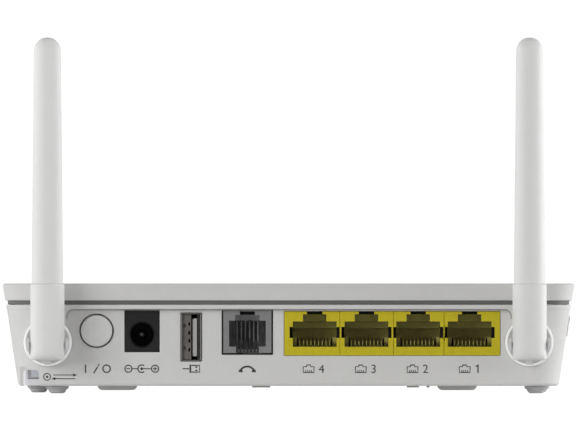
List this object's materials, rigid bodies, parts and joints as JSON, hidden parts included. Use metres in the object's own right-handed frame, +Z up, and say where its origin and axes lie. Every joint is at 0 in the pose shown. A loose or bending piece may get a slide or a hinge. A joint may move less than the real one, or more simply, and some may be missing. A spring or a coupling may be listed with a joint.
{
  "type": "optical network terminal",
  "caption": "White desktop fibre terminal with a tapered base, a recessed rear panel of power, USB, phone and network sockets, and antennas that swivel and fold.",
  "frame": {"origin": "centre of the whole object's box, at the level of the feet", "axes": "+X to the right when looking at the connector face, +Y from the connector face toward the indicators, +Z up"},
  "size_m": [0.1546, 0.1293, 0.0961],
  "materials": {
    "housing_white": "fine matte moulded ABS",
    "antenna_white": "satin moulded plastic",
    "light_pipe": "milky clear polycarbonate",
    "screw_steel": "zinc-plated steel",
    "foot_rubber": "soft pale grey rubber",
    "button_grey": "matte grey ABS",
    "switch_black": "black nylon",
    "jack_black": "black moulded plastic",
    "pin_nickel": "nickel-plated brass",
    "usb_steel": "tin-plated steel sheet",
    "usb_tongue_white": "white thermoplastic",
    "tel_grey": "grey thermoplastic",
    "contact_gold": "gold-flashed spring wire",
    "contact_nickel": "nickel-plated spring wire",
    "lan_yellow": "yellow thermoplastic",
    "adapter_grey": "pale grey thermoplastic",
    "dust_cap_clear": "translucent soft plastic",
    "module_metal": "machined metal can",
    "board_green": "solder-masked glass-fibre board",
    "cable_black": "thin coaxial cable jacket",
    "chip_black": "epoxy package",
    "aluminium": "extruded aluminium",
    "can_steel": "tinned steel sheet"
  },
  "bodies": {
    "housing": {"top_cover": "housing_white", "bottom_shell": "housing_white", "led_light_pipe": "light_pipe", "case_screw_1": "screw_steel", "case_screw_2": "screw_steel", "case_screw_3": "screw_steel", "case_screw_4": "screw_steel", "pcb_screw_1": "screw_steel", "pcb_screw_2": "screw_steel", "foot_rear_left": "foot_rubber", "foot_rear_right": "foot_rubber", "foot_front_left": "foot_rubber", "foot_front_right": "foot_rubber", "power_switch": "switch_black", "wlan_switch": "switch_black", "wps_switch": "switch_black", "reset_switch": "switch_black", "dc_jack_body": "jack_black", "dc_jack_pin": "pin_nickel", "usb_shell": "usb_steel", "usb_tongue": "usb_tongue_white", "tel_jack_body": "tel_grey", "tel_contacts": "contact_nickel", "lan_jack_block": "lan_yellow", "lan_contacts_1": "contact_gold", "lan_contacts_2": "contact_gold", "lan_contacts_3": "contact_gold", "lan_contacts_4": "contact_gold", "optical_adapter": "adapter_grey", "optical_module": "module_metal", "antenna_coax_left": "cable_black", "antenna_coax_right": "cable_black", "main_pcb": "board_green", "soc_chip": "chip_black", "heatsink": "aluminium", "shield_can": "can_steel", "lan_magnetics": "chip_black", "capacitor_1": "aluminium", "capacitor_2": "aluminium"},
    "power_button": {"power_button": "button_grey"},
    "wlan_button": {"wlan_button": "housing_white"},
    "wps_button": {"wps_button": "housing_white"},
    "reset_button": {"reset_button": "button_grey"},
    "dust_cap": {"optical_dust_cap": "dust_cap_clear"},
    "hub_left": {"antenna_hub_left": "antenna_white", "hub_clip_left": "screw_steel", "hinge_pin_left": "screw_steel"},
    "antenna_left": {"antenna_sleeve_left": "antenna_white", "antenna_blade_left": "antenna_white", "antenna_element_left": "board_green"},
    "hub_right": {"antenna_hub_right": "antenna_white", "hub_clip_right": "screw_steel", "hinge_pin_right": "screw_steel"},
    "antenna_right": {"antenna_sleeve_right": "antenna_white", "antenna_blade_right": "antenna_white", "antenna_element_right": "board_green"}
  },
  "joints": [
    {"name": "left_antenna_swivel", "type": "hinge", "parent": "housing", "child": "hub_left", "pos_m": [-0.0651, -0.051, 0.01384], "axis": [0, 1, 0], "range_deg": [-90, 45]},
    {"name": "left_antenna_fold", "type": "hinge", "parent": "hub_left", "child": "antenna_left", "pos_m": [-0.0651, -0.0602, 0.0129], "axis": [1, 0, 0], "range_deg": [0, 90]},
    {"name": "right_antenna_swivel", "type": "hinge", "parent": "housing", "child": "hub_right", "pos_m": [0.0651, -0.051, 0.01384], "axis": [0, 1, 0], "range_deg": [-45, 90]},
    {"name": "right_antenna_fold", "type": "hinge", "parent": "hub_right", "child": "antenna_right", "pos_m": [0.0651, -0.0602, 0.0129], "axis": [1, 0, 0], "range_deg": [0, 90]},
    {"name": "power_button_push", "type": "slide", "parent": "housing", "child": "power_button", "axis": [0, 1, 0], "range_m": [0, 0.002], "stiffness_N_per_m": 900},
    {"name": "wlan_button_push", "type": "slide", "parent": "housing", "child": "wlan_button", "axis": [-1, 0, 0], "range_m": [0, 0.0005], "stiffness_N_per_m": 2500},
    {"name": "wps_button_push", "type": "slide", "parent": "housing", "child": "wps_button", "axis": [-1, 0, 0], "range_m": [0, 0.0005], "stiffness_N_per_m": 2500},
    {"name": "reset_button_push", "type": "slide", "parent": "housing", "child": "reset_button", "axis": [-1, 0, 0], "range_m": [0, 0.0005], "stiffness_N_per_m": 2500},
    {"name": "dust_cap_pull", "type": "slide", "parent": "housing", "child": "dust_cap", "axis": [0, -1, 0], "range_m": [0, 0.016]}
  ]
}
